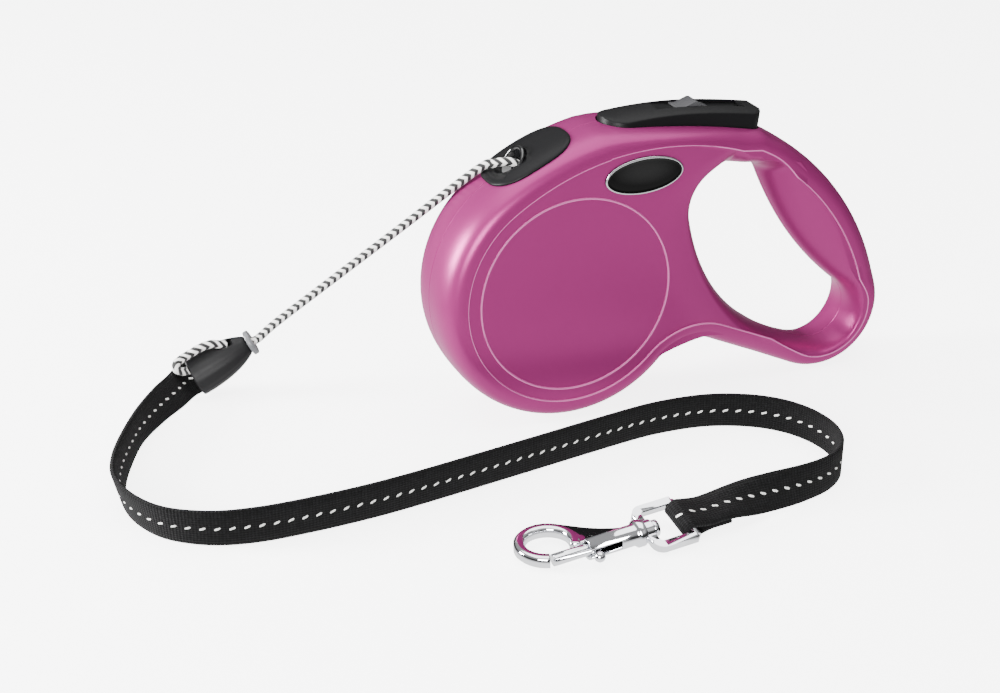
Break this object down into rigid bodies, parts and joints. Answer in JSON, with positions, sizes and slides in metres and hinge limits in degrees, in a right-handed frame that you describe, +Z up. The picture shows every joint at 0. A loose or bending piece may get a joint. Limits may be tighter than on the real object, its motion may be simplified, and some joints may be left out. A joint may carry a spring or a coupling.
{
  "type": "retractable leash",
  "caption": "Retractable cord leash: moulded drum housing with a hand hole, thumb brake and lock, sprung spool, cord, webbing strap and swivelling bolt snap.",
  "frame": {"origin": "under the middle of the housing, on the surface that it stands on", "axes": "+X from the drum to the handle, +Y through the housing away from the badge, +Z up"},
  "size_m": [0.2795, 0.1608, 0.1058],
  "materials": {
    "housing": "metallic pink moulded ABS, satin gloss",
    "black_trim": "satin black moulded plastic",
    "eyelet": "polished black plastic",
    "badge": "black domed badge with a thin silver rim, bare",
    "slider": "mid grey moulded plastic",
    "connector": "dark grey moulded plastic",
    "collar": "pale grey moulded plastic",
    "spool": "grey acetal",
    "steel": "zinc-plated steel",
    "brass": "turned brass",
    "chrome": "chrome-plated zinc",
    "cord": "black and white braided polyester",
    "strap": "black woven polyester webbing with a white stitch line"
  },
  "bodies": {
    "housing": {"near_shell": "housing", "far_shell": "housing", "housing_screws": "steel", "oval_badge": "badge", "outlet_bezel": "black_trim", "outlet_eyelet": "eyelet", "brake_hinge_pin": "steel", "brake_return_spring": "steel", "axle": "steel", "cord": "cord", "stop_collar": "collar", "bullet_connector": "connector", "cord_loop": "cord", "webbing": "strap"},
    "brake": {"brake_button": "black_trim", "brake_tongue": "steel"},
    "lock": {"lock_slider": "slider"},
    "spool": {"spool_bush": "brass", "spool_drum": "spool", "ratchet_disc": "spool", "spring_cover": "spool", "power_spring": "steel", "wound_cord": "cord"},
    "eye": {"swivel_eye": "chrome"},
    "snap": {"snap_hook": "chrome"},
    "bolt": {"snap_bolt": "chrome"}
  },
  "joints": [
    {"name": "brake_press", "type": "hinge", "parent": "housing", "child": "brake", "pos_m": [0.02662, 0, 0.08764], "axis": [0, -1, 0], "range_deg": [0, 3.5], "stiffness_Nm_per_rad": 0.6, "springref_deg": -6.88, "deforming": ["brake_return_spring"]},
    {"name": "lock_slide", "type": "slide", "parent": "brake", "child": "lock", "axis": [0.9942, 0, -0.1078], "range_m": [0, 0.009]},
    {"name": "spool_spin", "type": "hinge", "parent": "housing", "child": "spool", "pos_m": [-0.03825, 0, 0.046], "axis": [0, 1, 0], "continuous": true},
    {"name": "eye_swing", "type": "hinge", "parent": "housing", "child": "eye", "pos_m": [-0.0375, -0.0953, 0.0049], "axis": [-0.1108, 0.9596, 0.2586], "range_deg": [-60, 120]},
    {"name": "snap_swivel", "type": "hinge", "parent": "eye", "child": "snap", "pos_m": [-0.0375, -0.0953, 0.0049], "axis": [0.9938, 0.1045, 0.0384], "continuous": true},
    {"name": "bolt_slide", "type": "slide", "parent": "snap", "child": "bolt", "axis": [0.9938, 0.1045, 0.0384], "range_m": [0, 0.0075], "stiffness_N_per_m": 400, "springref_m": -0.004}
  ]
}
